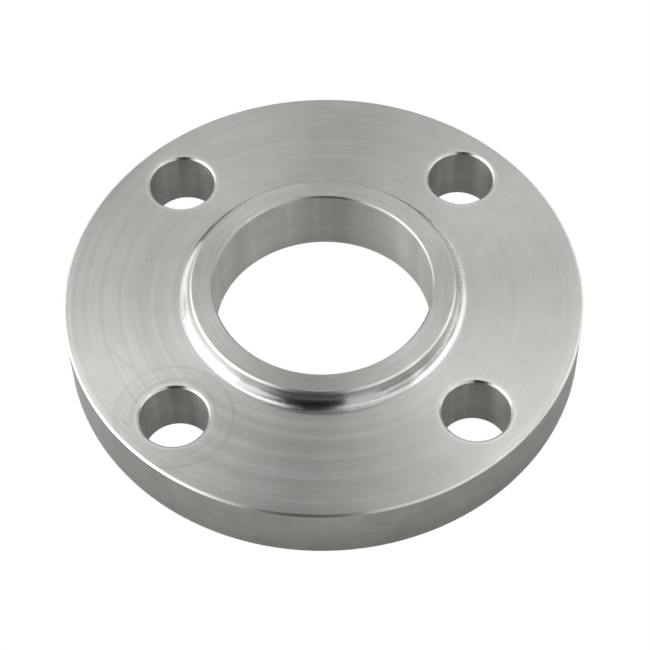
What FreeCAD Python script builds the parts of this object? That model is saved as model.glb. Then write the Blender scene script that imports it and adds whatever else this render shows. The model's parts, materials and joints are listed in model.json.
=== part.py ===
import FreeCAD, Part
import math
import os

import Sketcher

# A lap joint flange turned from one piece of stainless steel. It slides loose over a pipe.
# Its flat lower face bears on the back of the stub end's lap, and the radius at that end of
# the bore clears the root of the lap. The nuts seat on the upper face, round the short hub.
# The origin is the centre of the lower face, and +Z runs along the bore towards the hub.

# Driving sizes in millimetres, from the bore outwards. Together they give a hub 78 mm
# across, a bolt circle of 120.6 mm and an outside diameter of 152.4 mm, which is 6 inches.
SIZES = [
    ("bore_diameter", 64.4, "straight bore, clear of a 60.3 mm pipe"),
    ("hub_wall", 6.8, "bore to the outside of the hub"),
    ("hub_to_hole", 11.4, "outside of the hub to the nearest point of a bolt hole"),
    ("bolt_hole_diameter", 19.8, "clear of a five eighths inch bolt"),
    ("hole_to_rim", 6.0, "bolt hole to the outside of the disc"),
    ("disc_thickness", 19.5, "lower face to upper face"),
    ("hub_rise", 4.7, "upper face to the top of the hub"),
    ("hub_fillet_radius", 3.6, "root of the hub on the upper face"),
    ("lap_radius", 3.6, "lower end of the bore"),
    ("rim_chamfer", 0.6, "both edges of the disc"),
    ("hub_chamfer", 0.6, "outer edge of the hub's top"),
    ("bore_chamfer", 0.5, "upper end of the bore"),
    ("hole_chamfer", 0.6, "both ends of every bolt hole"),
    ("least_wall", 0.1, "straight wall kept between the hub's fillet and its chamfer"),
    ("bolt_hole_count", 4, "evenly spaced, and astride the centre lines"),
]

# What follows from the driving sizes, as formulas that the features are bound to.
LOWER_FACE = "0"
UPPER_FACE = "Sizes.disc_thickness"
HUB_TOP = "Sizes.disc_thickness + Sizes.hub_rise"
HOLE_RADIUS = "Sizes.bolt_hole_diameter / 2"
BORE_RADIUS = "Sizes.bore_diameter / 2"
HUB_RADIUS = f"{BORE_RADIUS} + Sizes.hub_wall"
BOLT_CIRCLE_RADIUS = f"{HUB_RADIUS} + Sizes.hub_to_hole + {HOLE_RADIUS}"
RIM_RADIUS = f"{BOLT_CIRCLE_RADIUS} + {HOLE_RADIUS} + Sizes.hole_to_rim"
FIRST_HOLE_DEGREES = "180 / Sizes.bolt_hole_count"
ROOT_RADIUS = "min(Sizes.hub_fillet_radius; Sizes.hub_rise - Sizes.hub_chamfer - Sizes.least_wall)"

NODE = "lap_joint_flange"
FULL_TURN = 360
SAME_PLACE = 1e-4  # millimetres
SAME_VOLUME = 1e-6  # share of the volume
CUBIC_CENTIMETRE = 1000  # cubic millimetres


def make_sizes(doc):
    """Write the driving sizes into a sheet, each under its alias."""
    sheet = doc.addObject("Spreadsheet::Sheet", "Sizes")
    for row, (alias, value, meaning) in enumerate(SIZES, start=1):
        sheet.set(f"A{row}", alias)
        sheet.set(f"B{row}", str(value))
        sheet.set(f"C{row}", meaning)
        sheet.setAlias(f"B{row}", alias)
    doc.recompute()
    return sheet


def worked_out(sheet, *formulas):
    """Work out each formula with the sheet's present values."""
    return [float(sheet.evalExpression(formula)) for formula in formulas]


def origin_feature(body, role):
    """Return the plane or axis of the body's own origin that has this role."""
    return next(item for item in body.Origin.OriginFeatures if item.Role == role)


def new_sketch(body, name, plane):
    """Add a sketch to the body on one of its origin planes."""
    sketch = body.newObject("Sketcher::SketchObject", name)
    sketch.AttachmentSupport = [(origin_feature(body, plane), "")]
    sketch.MapMode = "FlatFace"
    return sketch


def dimension(sketch, name, constraint, formula):
    """Add a named dimension to the sketch and bind it to its formula."""
    index = sketch.addConstraint(constraint)
    sketch.renameConstraint(index, name)
    sketch.setExpression(f"Constraints.{name}", formula)


def turn_blank(doc, body, sheet):
    """Revolve the half section of the disc and its hub about the axis of the bore."""
    sketch = new_sketch(body, "half_section", "XZ_Plane")
    bore, hub, rim = worked_out(sheet, BORE_RADIUS, HUB_RADIUS, RIM_RADIUS)
    low, face, top = worked_out(sheet, LOWER_FACE, UPPER_FACE, HUB_TOP)
    corners = [(bore, low), (rim, low), (rim, face), (hub, face), (hub, top), (bore, top)]
    points = [FreeCAD.Vector(across, up, 0) for across, up in corners]
    ends = points[1:] + points[:1]
    lines = sketch.addGeometry([Part.LineSegment(*pair) for pair in zip(points, ends)])
    lower_face, rim_wall, upper_face, hub_wall, hub_top, bore_wall = lines
    for line, following in zip(lines, (*lines[1:], lines[0])):
        sketch.addConstraint(Sketcher.Constraint("Coincident", line, 2, following, 1))
    for flat in (lower_face, upper_face, hub_top):
        sketch.addConstraint(Sketcher.Constraint("Horizontal", flat))
    for wall in (rim_wall, hub_wall, bore_wall):
        sketch.addConstraint(Sketcher.Constraint("Vertical", wall))
    sketch.addConstraint(Sketcher.Constraint("PointOnObject", lower_face, 1, -1))
    for name, line, across, formula in (
        ("bore_radius", lower_face, bore, BORE_RADIUS),
        ("rim_radius", rim_wall, rim, RIM_RADIUS),
        ("hub_radius", hub_wall, hub, HUB_RADIUS),
    ):
        from_axis = Sketcher.Constraint("DistanceX", -1, 1, line, 1, across)
        dimension(sketch, name, from_axis, formula)
    for name, line, up, formula in (
        ("upper_face", upper_face, face, UPPER_FACE),
        ("hub_top", hub_top, top, HUB_TOP),
    ):
        from_lower_face = Sketcher.Constraint("DistanceY", -1, 1, line, 1, up)
        dimension(sketch, name, from_lower_face, formula)
    blank = body.newObject("PartDesign::Revolution", "turned_blank")
    blank.Profile = sketch
    blank.ReferenceAxis = (sketch, ["V_Axis"])
    blank.Angle = FULL_TURN
    doc.recompute()


def drill_bolt_holes(doc, body, sheet):
    """Drill one hole through the disc from its lower face and repeat it round the bore."""
    radius, circle = worked_out(sheet, HOLE_RADIUS, BOLT_CIRCLE_RADIUS)
    angle = math.radians(*worked_out(sheet, FIRST_HOLE_DEGREES))
    sketch = new_sketch(body, "first_hole", "XY_Plane")
    axis_point = FreeCAD.Vector(0, 0, 0)
    centre = FreeCAD.Vector(circle * math.cos(angle), circle * math.sin(angle), 0)
    spoke = sketch.addGeometry(Part.LineSegment(axis_point, centre), True)
    outline = sketch.addGeometry(Part.Circle(centre, FreeCAD.Vector(0, 0, 1), radius))
    sketch.addConstraint(Sketcher.Constraint("Coincident", spoke, 1, -1, 1))
    sketch.addConstraint(Sketcher.Constraint("Coincident", outline, 3, spoke, 2))
    along_spoke = Sketcher.Constraint("Distance", spoke, circle)
    dimension(sketch, "bolt_circle_radius", along_spoke, BOLT_CIRCLE_RADIUS)
    from_x_axis = Sketcher.Constraint("Angle", -1, 1, spoke, 1, angle)
    dimension(sketch, "first_hole_angle", from_x_axis, f"{FIRST_HOLE_DEGREES} * 1 deg")
    dimension(sketch, "hole_radius", Sketcher.Constraint("Radius", outline, radius), HOLE_RADIUS)
    doc.recompute()

    whole = body.Shape.Volume
    hole = body.newObject("PartDesign::Hole", "bolt_hole")
    hole.Profile = sketch
    doc.recompute()
    hole.ThreadType = "None"
    hole.DepthType = "ThroughAll"
    hole.Reversed = True
    hole.setExpression("Diameter", "Sizes.bolt_hole_diameter")
    doc.recompute()
    ring = body.newObject("PartDesign::PolarPattern", "bolt_holes")
    ring.Originals = [hole]
    ring.Axis = (origin_feature(body, "Z_Axis"), [""])
    ring.Angle = FULL_TURN
    ring.setExpression("Occurrences", "Sizes.bolt_hole_count")
    body.Tip = ring
    doc.recompute()

    drilled = sheet.bolt_hole_count * math.pi * radius ** 2 * sheet.disc_thickness
    if abs(whole - body.Shape.Volume - drilled) > SAME_VOLUME * whole:
        raise RuntimeError("the bolt holes did not all go through the disc")


def ring_edges(shape, radius, height):
    """Name the circular edges that have this radius and lie at this height."""
    names = []
    for number, edge in enumerate(shape.Edges, start=1):
        curve = edge.Curve
        if not isinstance(curve, Part.Circle):
            continue
        if abs(curve.Radius - radius) < SAME_PLACE and abs(curve.Center.z - height) < SAME_PLACE:
            names.append(f"Edge{number}")
    return names


def dress(doc, body, sheet, name, kind, size, formula, rings):
    """Round or chamfer the circular edges on each ring, which is a radius and a height."""
    base = body.Tip
    edges = []
    for ring in rings:
        edges += ring_edges(base.Shape, *worked_out(sheet, *ring))
    if not edges:
        raise RuntimeError(f"{name} has no edge to work on")
    feature = body.newObject(f"PartDesign::{kind}", name)
    feature.Base = (base, edges)
    feature.setExpression(size, formula)
    body.Tip = feature
    doc.recompute()


def finish_edges(doc, body, sheet):
    """Round the hub's root and the lap end of the bore, and break the sharp edges."""
    dress(doc, body, sheet, "hub_root", "Fillet", "Radius", ROOT_RADIUS,
          [(HUB_RADIUS, UPPER_FACE)])
    dress(doc, body, sheet, "lap_end", "Fillet", "Radius", "Sizes.lap_radius",
          [(BORE_RADIUS, LOWER_FACE)])
    dress(doc, body, sheet, "rim_edges", "Chamfer", "Size", "Sizes.rim_chamfer",
          [(RIM_RADIUS, LOWER_FACE), (RIM_RADIUS, UPPER_FACE)])
    dress(doc, body, sheet, "hub_edge", "Chamfer", "Size", "Sizes.hub_chamfer",
          [(HUB_RADIUS, HUB_TOP)])
    dress(doc, body, sheet, "bore_edge", "Chamfer", "Size", "Sizes.bore_chamfer",
          [(BORE_RADIUS, HUB_TOP)])
    dress(doc, body, sheet, "hole_edges", "Chamfer", "Size", "Sizes.hole_chamfer",
          [(HOLE_RADIUS, LOWER_FACE), (HOLE_RADIUS, UPPER_FACE)])


def check(doc, body):
    """Stop if a feature failed or the flange is not one sound solid."""
    for item in doc.Objects:
        if "Invalid" in item.State or "Error" in item.State:
            raise RuntimeError(f"{item.Name} failed: {item.State}")
    shape = body.Shape
    if shape.isNull() or not shape.isValid() or len(shape.Solids) != 1:
        raise RuntimeError(f"{body.Label} is not one sound solid")


doc = FreeCAD.newDocument("flange")
sizes = make_sizes(doc)
flange = doc.addObject("PartDesign::Body", NODE)
flange.Label = NODE
turn_blank(doc, flange, sizes)
drill_bolt_holes(doc, flange, sizes)
finish_edges(doc, flange, sizes)
doc.recompute()
check(doc, flange)
os.makedirs("parts", exist_ok=True)
flange.Shape.exportStep(f"parts/{flange.Label}.step")
extent = flange.Shape.optimalBoundingBox()
print(f"{flange.Label}: {extent.XLength:.2f} x {extent.YLength:.2f} x {extent.ZLength:.2f} mm,",
      f"{flange.Shape.Volume / CUBIC_CENTIMETRE:.2f} cm3")
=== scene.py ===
import json
import math

import bpy
from mathutils import Matrix, Quaternion, Vector


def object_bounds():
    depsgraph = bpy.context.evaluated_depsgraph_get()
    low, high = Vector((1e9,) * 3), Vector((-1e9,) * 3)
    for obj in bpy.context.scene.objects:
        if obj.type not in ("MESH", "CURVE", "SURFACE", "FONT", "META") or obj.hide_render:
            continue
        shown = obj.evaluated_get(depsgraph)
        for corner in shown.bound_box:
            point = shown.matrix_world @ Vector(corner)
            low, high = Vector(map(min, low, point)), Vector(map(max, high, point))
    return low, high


millimetre = 0.001

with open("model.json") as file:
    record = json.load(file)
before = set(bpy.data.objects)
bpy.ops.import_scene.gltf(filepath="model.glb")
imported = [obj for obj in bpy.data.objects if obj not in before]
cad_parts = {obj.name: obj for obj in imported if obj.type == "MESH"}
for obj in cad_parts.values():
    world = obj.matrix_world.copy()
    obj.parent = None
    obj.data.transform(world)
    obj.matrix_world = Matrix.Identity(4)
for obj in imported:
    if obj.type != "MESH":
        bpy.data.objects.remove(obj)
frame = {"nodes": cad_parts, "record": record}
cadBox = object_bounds()
flange = frame["nodes"]["lap_joint_flange"]
mounts = {mount["name"]: mount for mount in frame["record"]["mounts"]}
boreRadius = mounts["pipe_bore"]["dims"]["r_mm"] * millimetre
holeRadius = mounts["bolt_circle"]["dims"]["hole_r_mm"] * millimetre
boltCircle = mounts["bolt_circle"]["dims"]["pcd_mm"] * millimetre
holeOffset = boltCircle / 2 * math.sqrt(0.5)  # from the middle to each hole, along X and along Y
upperFace = mounts["nut_face"]["pos_m"][2]
rimRadius = cadBox[1].x
hubTop = cadBox[1].z
print("frame loaded")


def linear(hexColour):
    # sRGB hex to the linear values that the shaders take
    parts = [int(hexColour[i:i + 2], 16) / 255 for i in (1, 3, 5)]
    return [p / 12.92 if p <= 0.04045 else ((p + 0.055) / 1.055) ** 2.4 for p in parts] + [1.0]


def addNode(tree, kind, inputs=None, **settings):
    # one node: settings are its own properties, inputs are values or the sockets to link
    node = tree.nodes.new(kind)
    for name, value in settings.items():
        setattr(node, name, value)
    for socket, value in (inputs or {}).items():
        if isinstance(value, bpy.types.NodeSocket):
            tree.links.new(value, node.inputs[socket])
        else:
            node.inputs[socket].default_value = value
    return node


def direction(degrees):
    # a level direction, counted from +X towards +Y
    angle = math.radians(degrees)
    return (math.cos(angle), math.sin(angle), 0)


# Where each finish lies on the flange. The marks that a tool leaves follow its path, so
# the flat faces, the root of the hub, the bore, the rim and the holes each have their own.
surfaces = {
    "flatness": 0.98,  # a face this level takes the finish of the flat beside it
    "upright": 0.1,  # a face this steep is a wall
    "edgeBand": 0.75 * millimetre,  # a chamfer lies this close to its wall
    "underside": 1 * millimetre,  # a level face as low as this is the underside
}


def finishOf(face):
    x, y, z = face.center
    radius = math.hypot(x, y)
    steepness = abs(face.normal.z)
    toHole = math.hypot(abs(x) - holeOffset, abs(y) - holeOffset)
    if steepness > surfaces["flatness"]:
        if z < surfaces["underside"]:
            return "facedSteel"
        return "fineTurnedSteel" if z > (upperFace + hubTop) / 2 else "turnedSteel"
    if steepness < surfaces["upright"]:
        if toHole < holeRadius + surfaces["edgeBand"]:
            return "drilledSteel"
        if radius > rimRadius - surfaces["edgeBand"]:
            return "roughTurnedSteel"
        if radius < boreRadius + surfaces["edgeBand"]:
            return "boredSteel"
    if upperFace < z < hubTop - surfaces["edgeBand"]:
        return "burnishedSteel"
    if toHole < holeRadius + surfaces["edgeBand"]:
        return "brokenHoleEdgeSteel"
    return "brokenBoreEdgeSteel" if radius < boreRadius + surfaces["edgeBand"] else "brokenEdgeSteel"


# Every finish is cut in the same stainless steel, a slightly warm grey. What differs is the tool
# and how dull a cut it leaves. Depths, pitches, arcs and heights are in mm. The real
# feed is about 0.2 mm a turn, finer than the picture can show, so the fine marks are drawn at 0.5
# to 0.8 mm. Bands are where the cut rose and fell a little. The smaller the arc, the further
# a mark runs before it fades.
finishes = {
    # faced on the lathe: satin, with a fan of light across the rings, and soft broad bands
    "turnedSteel": {
        "light": "#d9d8d5", "dark": "#cecdc9", "roughness": 0.33, "anisotropy": 0.82,
        "marksAcross": "radius", "axis": "flange",
        "finePitch": 0.7, "fineDepth": 0.0020, "bandPitch": 1.6, "bandDepth": 0.040, "arc": 1.0,
        "grain": 0.10, "roughnessChange": 0.03,
        "ringsClearest": 217, "farTone": 0.25, "farDepth": 0.3,  # degrees, and what is left on the far side
    },
    # the hub's end, cut with a finer feed: an even satin
    "fineTurnedSteel": {
        "light": "#d6d5d2", "dark": "#cecdc9", "roughness": 0.30, "anisotropy": 0.80,
        "marksAcross": "radius", "axis": "flange",
        "finePitch": 0.5, "fineDepth": 0.0022, "bandPitch": 1.1, "bandDepth": 0.010, "arc": 4.0,
        "grain": 0.13, "roughnessChange": 0.03,
    },
    # the root of the hub, rubbed bright by the tool's nose: a soft mirror
    "burnishedSteel": {
        "light": "#dbdbd9", "dark": "#d5d5d3", "roughness": 0.225, "anisotropy": 0.92,
        "marksAcross": "radius", "axis": "flange",
        "finePitch": 0.5, "fineDepth": 0.0004, "bandPitch": 1.2, "bandDepth": 0.002, "arc": 0.8,
        "grain": 0.04, "roughnessChange": 0.02, "footRoughness": 0.32, "footHeight": 0.22,
        "wallRoughness": 0.28, "wallHeight": 2.2,
    },
    # the edges, broken with a file and a light cut: satin, and bright where they catch a lamp
    "brokenEdgeSteel": {
        "light": "#f0efec", "dark": "#e8e7e4", "roughness": 0.32, "anisotropy": 0.45,
        "marksAcross": "radius", "axis": "flange",
        "finePitch": 0.5, "fineDepth": 0.0008, "bandPitch": 1.2, "bandDepth": 0.003, "arc": 0.4,
        "grain": 0.06, "roughnessChange": 0.04,
    },
    # the edge inside the hub, in a darker grey than the other edges
    "brokenBoreEdgeSteel": {
        "light": "#d0cfcc", "dark": "#c8c7c4", "roughness": 0.32, "anisotropy": 0.45,
        "marksAcross": "radius", "axis": "flange",
        "finePitch": 0.5, "fineDepth": 0.0008, "bandPitch": 1.2, "bandDepth": 0.003, "arc": 0.4,
        "grain": 0.06, "roughnessChange": 0.04,
    },
    # the edge round each bolt hole, broken with a countersink: bright, with a turned sheen
    "brokenHoleEdgeSteel": {
        "light": "#f0efec", "dark": "#e8e7e4", "roughness": 0.28, "anisotropy": 0.8,
        "marksAcross": "radius", "axis": "hole",
        "finePitch": 0.5, "fineDepth": 0.0008, "bandPitch": 1.2, "bandDepth": 0.003, "arc": 0.4,
        "grain": 0.06, "roughnessChange": 0.04,
    },
    # the bore, finished with a boring bar: faint rings and upright streaks, a soft sheen
    "boredSteel": {
        "light": "#cfcecb", "dark": "#c8c7c3", "roughness": 0.40, "anisotropy": 0.95,
        "marksAcross": "height", "axis": "flange",
        "finePitch": 0.6, "fineDepth": 0.0025, "bandPitch": 2.0, "bandDepth": 0.008, "arc": 3.0,
        "grain": 0.06, "roughnessChange": 0.04, "uprightPitch": 6.0, "uprightShade": 0.22,
    },
    # the rim, turned with a coarse feed: a duller grey, partly the steel's own tone and partly painted shade
    # for the dark that the rim reflects
    "roughTurnedSteel": {
        "light": "#969593", "dark": "#908f8c", "roughness": 0.34, "anisotropy": 0.20,
        "marksAcross": "height", "axis": "flange",
        "finePitch": 0.8, "fineDepth": 0.0025, "bandPitch": 3.0, "bandDepth": 0.006, "arc": 3.0,
        "grain": 0.10, "roughnessChange": 0.04, "uprightPitch": 7.0, "uprightShade": 0.14,
    },
    # the bolt holes, drilled through: rings round each hole's own axis
    "drilledSteel": {
        "light": "#d0cfcc", "dark": "#c6c5c2", "roughness": 0.35, "anisotropy": 0.93,
        "marksAcross": "height", "axis": "hole",
        "finePitch": 0.8, "fineDepth": 0.0030, "bandPitch": 2.5, "bandDepth": 0.015, "arc": 1.2,
        "grain": 0.05, "roughnessChange": 0.04, "uprightPitch": 2.8, "uprightShade": 0.34,
    },
    # the underside, faced like the top and left plain
    "facedSteel": {
        "light": "#d7d6d3", "dark": "#cccbc7", "roughness": 0.33, "anisotropy": 0.80,
        "marksAcross": "radius", "axis": "flange",
        "finePitch": 0.7, "fineDepth": 0.0020, "bandPitch": 1.6, "bandDepth": 0.040, "arc": 1.0,
        "grain": 0.09, "roughnessChange": 0.02,
    },
}

dullMetal = "#77766f"
# fresh metal, for the light scratches and for the hole lips, where it is partly a painted highlight
freshMetalAndGlint = "#f4f4f2"

# Marks of handling, in mm and degrees seen from above. A dark one is a dent or a stain, a light
# one a scratch down to fresh metal.
marks = {
    "turnedSteel": [
        {"x": -52.4, "y": 13.2, "long": 2.0, "wide": 0.7, "turn": 75, "colour": dullMetal, "shade": 0.35},
        {"x": -51.0, "y": 13.1, "long": 1.8, "wide": 0.7, "turn": 75, "colour": dullMetal, "shade": 0.45},
        {"x": -56.0, "y": -44.8, "long": 3.4, "wide": 0.9, "turn": -46, "colour": dullMetal, "shade": 0.40},
        {"x": -58.6, "y": -22.4, "long": 19.0, "wide": 0.6, "turn": -44, "colour": dullMetal, "shade": 0.16},
        {"x": -17.1, "y": 41.5, "long": 1.2, "wide": 0.9, "turn": 0, "colour": dullMetal, "shade": 0.30},
        {"x": 57.7, "y": -25.8, "long": 1.5, "wide": 1.1, "turn": 30, "colour": dullMetal, "shade": 0.30},
        {"x": -28.2, "y": -66.7, "long": 2.2, "wide": 0.7, "turn": 88, "colour": freshMetalAndGlint, "shade": 0.60},
        {"x": -14.2, "y": -60.2, "long": 9.0, "wide": 0.6, "turn": 86, "colour": freshMetalAndGlint, "shade": 0.22},
        {"x": -35.7, "y": -62.7, "long": 1.0, "wide": 0.8, "turn": 0, "colour": freshMetalAndGlint, "shade": 0.45},
    ],
    "fineTurnedSteel": [
        {"x": 9.7, "y": -33.4, "long": 1.8, "wide": 0.5, "turn": 85, "colour": dullMetal, "shade": 0.20},
        {"x": 10.8, "y": -34.2, "long": 1.8, "wide": 0.5, "turn": 85, "colour": dullMetal, "shade": 0.20},
        {"x": -1.8, "y": 37.4, "long": 1.2, "wide": 0.8, "turn": 0, "colour": dullMetal, "shade": 0.15},
    ],
}


def addMarks(tree, place, tone, marksHere):
    for mark in marksHere:
        # the mark's own coordinates, where its outline is a circle of radius 1
        local = addNode(tree, "ShaderNodeMapping", {
            "Vector": place,
            "Location": (mark["x"] * millimetre, mark["y"] * millimetre, 0),
            "Rotation": (0, 0, math.radians(mark["turn"])),
            "Scale": (mark["long"] / 2 * millimetre, mark["wide"] / 2 * millimetre, 1),
        }, vector_type="TEXTURE").outputs[0]
        fromMiddle = addNode(tree, "ShaderNodeVectorMath", {0: local}, operation="LENGTH").outputs["Value"]
        inside = addNode(tree, "ShaderNodeMapRange", {
            "Value": fromMiddle, "From Min": 0.3, "From Max": 1.0, "To Min": mark["shade"], "To Max": 0.0,
        }, interpolation_type="SMOOTHSTEP").outputs[0]
        tone = addNode(tree, "ShaderNodeMix", {0: inside, 6: tone, 7: linear(mark["colour"])},
                       data_type="RGBA").outputs[2]
    return tone


def fromNearestHole(tree, flat):
    # the holes lie alike in all four quarters, so the signs of X and Y find the nearest one
    side = addNode(tree, "ShaderNodeVectorMath", {0: flat}, operation="SIGN").outputs[0]
    centre = addNode(tree, "ShaderNodeVectorMath", {0: side, 1: (holeOffset, holeOffset, 0)},
                     operation="MULTIPLY").outputs[0]
    return addNode(tree, "ShaderNodeVectorMath", {0: flat, 1: centre}, operation="SUBTRACT").outputs[0]


def toolTrack(tree, outward, across, arc):
    # noise that is read along this is stretched the way that the tool went round
    step = addNode(tree, "ShaderNodeCombineXYZ", {"Z": across}).outputs[0]
    return addNode(tree, "ShaderNodeVectorMath", {
        0: outward, 1: (arc * millimetre, arc * millimetre, 0), 2: step,
    }, operation="MULTIPLY_ADD").outputs[0]


# What only the upper face has, in mm and degrees: an edge that rolls off a little towards the rim, a
# bright lip round each hole, partly fresh metal where it was deburred and partly a painted highlight,
# and the rings round the front left bolt hole.
upperFaceDetail = {
    "edgeFrom": 73.6, "edgeTo": 76.0, "edgeDrop": 0.09,
    "lipFrom": 10.9, "lipEnd": 11.9, "lipWearAndGlint": 0.30,
    "ringsEnd": 23.0, "ringsPitch": 1.1, "ringsDepth": 0.050, "ringsShade": 0.15, "ringsArc": 0.9,
    "ringRadius": 16.9, "ringWidth": 1.0, "ringShade": 0.12,
}


def rollEdge(tree, radius, height):
    look = upperFaceDetail
    drop = addNode(tree, "ShaderNodeMapRange", {
        "Value": radius, "From Min": look["edgeFrom"] * millimetre, "From Max": look["edgeTo"] * millimetre,
        "To Min": 0.0, "To Max": look["edgeDrop"],
    }, interpolation_type="SMOOTHSTEP").outputs[0]
    return addNode(tree, "ShaderNodeMath", {0: height, 1: drop}, operation="SUBTRACT").outputs[0]


# each hole's lip is painted lighter all round: partly fresh metal where it was deburred, partly a painted
# highlight that widens the edge's glint
def brightenLipsWithGlint(tree, flat, tone):
    look = upperFaceDetail
    fromHole = fromNearestHole(tree, flat)
    distance = addNode(tree, "ShaderNodeVectorMath", {0: fromHole}, operation="LENGTH").outputs["Value"]
    lip = addNode(tree, "ShaderNodeMapRange", {
        "Value": distance, "From Min": look["lipFrom"] * millimetre, "From Max": look["lipEnd"] * millimetre,
        "To Min": look["lipWearAndGlint"], "To Max": 0.0,
    }, interpolation_type="SMOOTHSTEP").outputs[0]
    return addNode(tree, "ShaderNodeMix", {0: lip, 6: tone, 7: linear(freshMetalAndGlint)},
                   data_type="RGBA").outputs[2]


def ringFrontLeftHole(tree, flat, tone, height):
    look = upperFaceDetail
    fromHole = addNode(tree, "ShaderNodeVectorMath", {0: flat, 1: (-holeOffset, -holeOffset, 0)},
                       operation="SUBTRACT").outputs[0]
    distance = addNode(tree, "ShaderNodeVectorMath", {0: fromHole}, operation="LENGTH").outputs["Value"]
    outward = addNode(tree, "ShaderNodeVectorMath", {0: fromHole}, operation="NORMALIZE").outputs[0]
    rings = addNode(tree, "ShaderNodeTexNoise", {
        "Vector": toolTrack(tree, outward, distance, look["ringsArc"]),
        "Scale": 1 / (look["ringsPitch"] * millimetre), "Detail": 1.0,
    }).outputs[0]
    fade = addNode(tree, "ShaderNodeMapRange", {
        "Value": distance, "From Min": holeRadius, "From Max": look["ringsEnd"] * millimetre,
        "To Min": look["ringsDepth"], "To Max": 0.0,
    }, interpolation_type="SMOOTHSTEP").outputs[0]
    height = addNode(tree, "ShaderNodeMath", {0: rings, 1: fade, 2: height},
                     operation="MULTIPLY_ADD").outputs[0]
    dulled = addNode(tree, "ShaderNodeMapRange", {
        "Value": rings, "From Min": 0.45, "From Max": 0.65,
        "To Min": 0.0, "To Max": look["ringsShade"] / look["ringsDepth"],
    }).outputs[0]
    dulled = addNode(tree, "ShaderNodeMath", {0: dulled, 1: fade}, operation="MULTIPLY").outputs[0]
    tone = addNode(tree, "ShaderNodeMix", {0: dulled, 6: tone, 7: linear(dullMetal)},
                   data_type="RGBA").outputs[2]

    # the one ring that shows darker
    fromRing = addNode(tree, "ShaderNodeMath", {0: distance, 1: look["ringRadius"] * millimetre},
                       operation="SUBTRACT").outputs[0]
    offRing = addNode(tree, "ShaderNodeMath", {0: fromRing}, operation="ABSOLUTE").outputs[0]
    onRing = addNode(tree, "ShaderNodeMapRange", {
        "Value": offRing, "From Min": 0.0, "From Max": look["ringWidth"] * millimetre,
        "To Min": look["ringShade"], "To Max": 0.0,
    }, interpolation_type="SMOOTHSTEP").outputs[0]
    tone = addNode(tree, "ShaderNodeMix", {0: onRing, 6: tone, 7: linear(dullMetal)},
                   data_type="RGBA").outputs[2]
    return tone, height


# The noise of the marks and smears lies mostly between 0.3 and 0.7, so the ranges below start and end
# inside that.
def toneOfCut(tree, look, outward, fine, bands):
    bandDepth = look["bandDepth"]
    ringTone = addNode(tree, "ShaderNodeMapRange", {
        "Value": bands, "From Min": 0.35, "From Max": 0.65, "To Min": 0.0, "To Max": 1.0,
    }).outputs[0]
    if "ringsClearest" in look:
        # the photo shows the rings clearest at the front left and an even grey on the far side
        facing = addNode(tree, "ShaderNodeVectorMath", {0: outward, 1: direction(look["ringsClearest"])},
                         operation="DOT_PRODUCT").outputs["Value"]
        clear = addNode(tree, "ShaderNodeMapRange", {
            "Value": facing, "From Min": 0.0, "From Max": 0.9, "To Min": look["farTone"], "To Max": 1.0,
        }, interpolation_type="SMOOTHSTEP").outputs[0]
        ringTone = addNode(tree, "ShaderNodeMix", {0: clear, 2: 0.5, 3: ringTone}).outputs[0]
        bandDepth = addNode(tree, "ShaderNodeMix", {
            0: clear, 2: bandDepth * look["farDepth"], 3: bandDepth,
        }).outputs[0]
    tone = addNode(tree, "ShaderNodeMix", {0: ringTone, 6: linear(look["dark"]), 7: linear(look["light"])},
                   data_type="RGBA").outputs[2]
    grain = addNode(tree, "ShaderNodeMapRange", {
        "Value": fine, "From Min": 0.3, "From Max": 0.7, "To Min": 0.0, "To Max": look["grain"],
    }).outputs[0]
    tone = addNode(tree, "ShaderNodeMix", {0: grain, 6: tone, 7: linear(dullMetal)},
                   data_type="RGBA").outputs[2]
    return tone, bandDepth


def blendRoot(tree, look, aboveFloor, roughness):
    # at its foot the root runs out into the satin of the face, and so does the wall above it
    footTop = upperFace + look["footHeight"] * millimetre
    foot = addNode(tree, "ShaderNodeMapRange", {
        "Value": aboveFloor, "From Min": upperFace, "From Max": footTop,
        "To Min": look["footRoughness"], "To Max": 0.0,
    }).outputs[0]
    roughness = addNode(tree, "ShaderNodeMath", {0: roughness, 1: foot}, operation="MAXIMUM").outputs[0]
    wall = addNode(tree, "ShaderNodeMapRange", {
        "Value": aboveFloor, "From Min": upperFace + look["wallHeight"] / 2 * millimetre,
        "From Max": upperFace + look["wallHeight"] * millimetre,
        "To Min": 0.0, "To Max": look["wallRoughness"],
    }).outputs[0]
    return addNode(tree, "ShaderNodeMath", {0: roughness, 1: wall}, operation="MAXIMUM").outputs[0]


def streakWall(tree, look, level, tone):
    around = addNode(tree, "ShaderNodeTexNoise", {
        "Vector": level, "Scale": 1 / (look["uprightPitch"] * millimetre), "Detail": 2.0,
    }).outputs[0]
    streaks = addNode(tree, "ShaderNodeMapRange", {
        "Value": around, "From Min": 0.35, "From Max": 0.65, "To Min": 0.0, "To Max": look["uprightShade"],
    }).outputs[0]
    return addNode(tree, "ShaderNodeMix", {0: streaks, 6: tone, 7: linear(dullMetal)},
                   data_type="RGBA").outputs[2]


# faint smears, in mm
smears = {"size": 8.0, "amount": 0.22, "colour": "#b4b4af", "roughness": 0.03}


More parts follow.
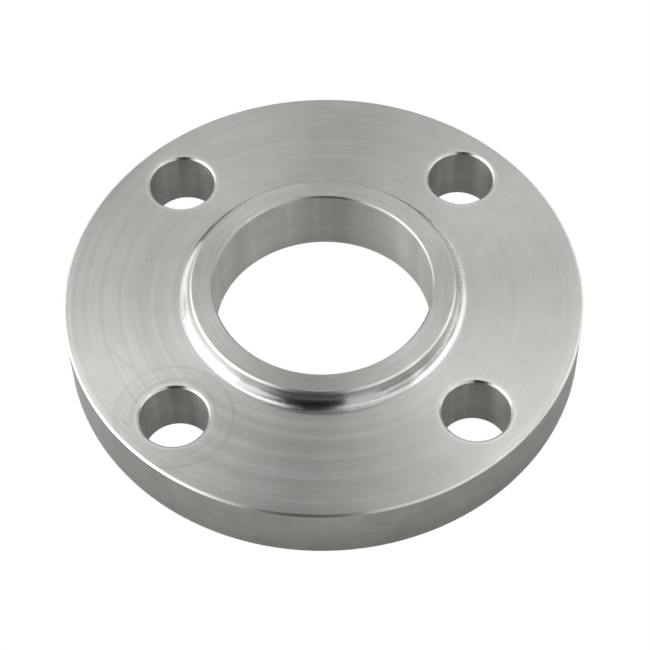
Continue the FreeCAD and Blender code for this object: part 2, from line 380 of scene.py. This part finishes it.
def makeSteel(name, look):
    steel = bpy.data.materials.new(name)
    steel.use_nodes = True
    tree = steel.node_tree
    tree.nodes.clear()

    # the way out from the axis, and the way that the tool went round it
    place = addNode(tree, "ShaderNodeTexCoord").outputs["Object"]
    flat = addNode(tree, "ShaderNodeVectorMath", {0: place, 1: (1, 1, 0)}, operation="MULTIPLY").outputs[0]
    level = fromNearestHole(tree, flat) if look["axis"] == "hole" else flat
    radius = addNode(tree, "ShaderNodeVectorMath", {0: level}, operation="LENGTH").outputs["Value"]
    outward = addNode(tree, "ShaderNodeVectorMath", {0: level}, operation="NORMALIZE").outputs[0]
    toolPath = addNode(tree, "ShaderNodeVectorMath", {0: (0, 0, 1), 1: outward},
                       operation="CROSS_PRODUCT").outputs[0]
    aboveFloor = addNode(tree, "ShaderNodeSeparateXYZ", {0: place}).outputs["Z"]

    # rings that fade in and out, as tone, as depth and as gloss
    across = aboveFloor if look["marksAcross"] == "height" else radius
    track = toolTrack(tree, outward, across, look["arc"])
    fine = addNode(tree, "ShaderNodeTexNoise", {
        "Vector": track, "Scale": 1 / (look["finePitch"] * millimetre), "Detail": 2.0, "Roughness": 0.6,
    }).outputs[0]
    bands = addNode(tree, "ShaderNodeTexNoise", {
        "Vector": track, "Scale": 1 / (look["bandPitch"] * millimetre), "Detail": 0.5,
    }).outputs[0]
    tone, bandDepth = toneOfCut(tree, look, outward, fine, bands)
    fineHeight = addNode(tree, "ShaderNodeMath", {0: fine, 1: look["fineDepth"]},
                         operation="MULTIPLY").outputs[0]
    height = addNode(tree, "ShaderNodeMath", {0: bands, 1: bandDepth, 2: fineHeight},
                     operation="MULTIPLY_ADD").outputs[0]
    roughness = addNode(tree, "ShaderNodeMapRange", {
        "Value": fine, "From Min": 0.3, "From Max": 0.7,
        "To Min": look["roughness"] - look["roughnessChange"] / 2,
        "To Max": look["roughness"] + look["roughnessChange"] / 2,
    }).outputs[0]

    # smears, and what only some of the finishes have
    clouds = addNode(tree, "ShaderNodeTexNoise", {
        "Vector": place, "Scale": 1 / (smears["size"] * millimetre), "Detail": 4.0,
    }).outputs[0]
    roughness = addNode(tree, "ShaderNodeMath", {0: clouds, 1: smears["roughness"], 2: roughness},
                        operation="MULTIPLY_ADD").outputs[0]
    if "footRoughness" in look:
        roughness = blendRoot(tree, look, aboveFloor, roughness)
    if "uprightPitch" in look:
        tone = streakWall(tree, look, level, tone)
    smeared = addNode(tree, "ShaderNodeMapRange", {
        "Value": clouds, "From Min": 0.4, "From Max": 0.7, "To Min": 0.0, "To Max": smears["amount"],
    }).outputs[0]
    tone = addNode(tree, "ShaderNodeMix", {0: smeared, 6: tone, 7: linear(smears["colour"])},
                   data_type="RGBA").outputs[2]
    if name == "turnedSteel":
        height = rollEdge(tree, radius, height)
        tone = brightenLipsWithGlint(tree, flat, tone)
        tone, height = ringFrontLeftHole(tree, flat, tone, height)
    tone = addMarks(tree, place, tone, marks.get(name, []))

    bump = addNode(tree, "ShaderNodeBump", {"Height": height, "Distance": millimetre}).outputs[0]
    shader = addNode(tree, "ShaderNodeBsdfPrincipled", {
        "Base Color": tone,
        "Metallic": 1.0,
        "Roughness": roughness,
        "Anisotropic": look["anisotropy"],
        "Anisotropic Rotation": 0.25,  # the spread goes across the marks
        "Tangent": toolPath,
        "Normal": bump,
    })
    addNode(tree, "ShaderNodeOutputMaterial", {"Surface": shader.outputs["BSDF"]})
    return steel


flange.data.materials.clear()
order = list(finishes)
for name in order:
    flange.data.materials.append(makeSteel(name, finishes[name]))
for face in flange.data.polygons:
    face.material_index = order.index(finishOf(face))
print("steel on", len(flange.data.polygons), "faces")

# The floor is plain and pale. The steel sees it as pale paper on a light table, lit by the lamps and
# glowing a little.
floorPlan = {
    "size": 8.0,  # metres
    "gap": 0.1 * millimetre,  # below the flange, so that the two faces stay apart
    "seen": "#ffffff",
    "reflected": "#ecebe9",
    "glow": 0.11,
}


def makeFloor():
    half = floorPlan["size"] / 2
    mesh = bpy.data.meshes.new("floor")
    corners = [(-half, -half, 0), (half, -half, 0), (half, half, 0), (-half, half, 0)]
    mesh.from_pydata(corners, [], [(0, 1, 2, 3)])
    floor = bpy.data.objects.new("floor", mesh)
    floor.location.z = -floorPlan["gap"]
    bpy.context.scene.collection.objects.link(floor)
    paper = bpy.data.materials.new("whitePaper")
    paper.use_nodes = True
    tree = paper.node_tree
    tree.nodes.clear()
    lit = addNode(tree, "ShaderNodeBsdfDiffuse", {"Color": linear(floorPlan["reflected"])}).outputs[0]
    glow = addNode(tree, "ShaderNodeEmission", {"Strength": floorPlan["glow"]}).outputs[0]
    table = addNode(tree, "ShaderNodeAddShader", {0: lit, 1: glow}).outputs[0]
    white = addNode(tree, "ShaderNodeEmission", {"Color": linear(floorPlan["seen"])}).outputs[0]
    toCamera = addNode(tree, "ShaderNodeLightPath").outputs["Is Camera Ray"]
    shader = addNode(tree, "ShaderNodeMixShader", {0: toCamera, 1: table, 2: white}).outputs[0]
    addNode(tree, "ShaderNodeOutputMaterial", {"Surface": shader})
    mesh.materials.append(paper)


makeFloor()
print("floor laid")

# The photo's view, worked out from the outlines of the rim, the hub, the bore and the holes.
shot = {
    "elevation": 54.22,  # degrees, as are the next two
    "azimuth": 0.37,
    "roll": -1.364,
    "distance": 8.139,  # rim radii, as are the next two
    "aimX": -0.0040,
    "aimY": -0.0229,
    "lens": 113.87,  # mm, as is the sensor
    "sensor": 36,
}


def makeCamera():
    camera = bpy.data.objects.new("camera", bpy.data.cameras.new("camera"))
    bpy.context.scene.collection.objects.link(camera)
    camera.data.sensor_width = shot["sensor"]
    camera.data.lens = shot["lens"]
    camera.data.clip_start = 0.01
    back = Matrix.Translation([part * rimRadius for part in
                               (-shot["aimX"], -shot["aimY"], shot["distance"])])
    camera.matrix_world = (
        Matrix.Rotation(math.radians(shot["azimuth"]), 4, "Z")
        @ Matrix.Rotation(math.radians(90 - shot["elevation"]), 4, "X")
        @ Matrix.Rotation(math.radians(shot["roll"]), 4, "Z")
        @ back)
    bpy.context.scene.camera = camera


makeCamera()
print("camera placed")

# Softboxes round the flange: where each one's middle is (degrees), how far it is turned, its size
# (metres) and how bright it looks. The front, under the camera, stays dark, and it shows as the
# black patch at the root of the hub.
softboxes = {
    "leftLong": dict(azimuth=192, elevation=35, roll=-15, width=3.14, height=1.52, glow=1.36),
    "leftBack": dict(azimuth=131, elevation=31, roll=0, width=0.76, height=2.02, glow=1.5),
    "leftLow": dict(azimuth=175, elevation=7.5, roll=12, width=2.70, height=1.10, glow=1.9),
    "leftHigh": dict(azimuth=165, elevation=62, roll=58, width=1.50, height=0.60, glow=3.0),
    "rightHigh": dict(azimuth=27, elevation=54, roll=19, width=1.54, height=0.98, glow=1.9),
    "rightMiddle": dict(azimuth=45, elevation=35, roll=6, width=1.56, height=0.46, glow=1.6),
    "rightLow": dict(azimuth=7, elevation=12, roll=-29, width=2.72, height=0.32, glow=2.3),
    "frontStrip": dict(azimuth=298, elevation=30, roll=-10, width=0.84, height=2.20, glow=0.72),
    "frontHigh": dict(azimuth=325, elevation=71, roll=-18, width=0.92, height=0.32, glow=1.8),
    "frontRight": dict(azimuth=326, elevation=30, roll=6, width=0.96, height=0.74, glow=1.35),
    "back": dict(azimuth=90, elevation=45, roll=-11, width=0.72, height=0.32, glow=2.7),
    "backLeft": dict(azimuth=111, elevation=6, roll=0, width=0.56, height=0.50, glow=0.7),
    "backLow": dict(azimuth=62, elevation=6, roll=-23, width=2.54, height=0.66, glow=0.7),
    "top": dict(azimuth=19, elevation=75, roll=0, width=1.14, height=0.88, glow=0.75),
}
softboxDistance = 2.0  # metres from the flange
wattsPerGlow = math.pi  # for each square metre, so that the glow is what a mirror shows


def addSoftbox(name, box):
    light = bpy.data.lights.new(name, "AREA")
    light.shape = "RECTANGLE"
    light.size = box["width"]
    light.size_y = box["height"]
    light.energy = box["glow"] * wattsPerGlow * box["width"] * box["height"]
    softbox = bpy.data.objects.new(name, light)
    around, up = math.radians(box["azimuth"]), math.radians(box["elevation"])
    away = Vector((math.cos(up) * math.cos(around), math.cos(up) * math.sin(around), math.sin(up)))
    facing = away.to_track_quat("Z", "Y") @ Quaternion((0, 0, 1), math.radians(box["roll"]))
    softbox.location = away * softboxDistance
    softbox.rotation_euler = facing.to_euler()
    softbox.visible_camera = False
    bpy.context.scene.collection.objects.link(softbox)


for name, box in softboxes.items():
    addSoftbox(name, box)

# the room is white to the camera, and dark to the steel between the softboxes
room = {"seen": "#ffffff", "reflected": "#000000"}


def makeRoom():
    world = bpy.data.worlds.new("room")
    bpy.context.scene.world = world
    world.use_nodes = True
    tree = world.node_tree
    tree.nodes.clear()
    dim = addNode(tree, "ShaderNodeBackground", {"Color": linear(room["reflected"])}).outputs[0]
    white = addNode(tree, "ShaderNodeBackground", {"Color": linear(room["seen"])}).outputs[0]
    toCamera = addNode(tree, "ShaderNodeLightPath").outputs["Is Camera Ray"]
    shader = addNode(tree, "ShaderNodeMixShader", {0: toCamera, 1: dim, 2: white}).outputs[0]
    addNode(tree, "ShaderNodeOutputWorld", {"Surface": shader})


makeRoom()
bpy.context.scene.view_settings.view_transform = "Standard"
print("studio lit")
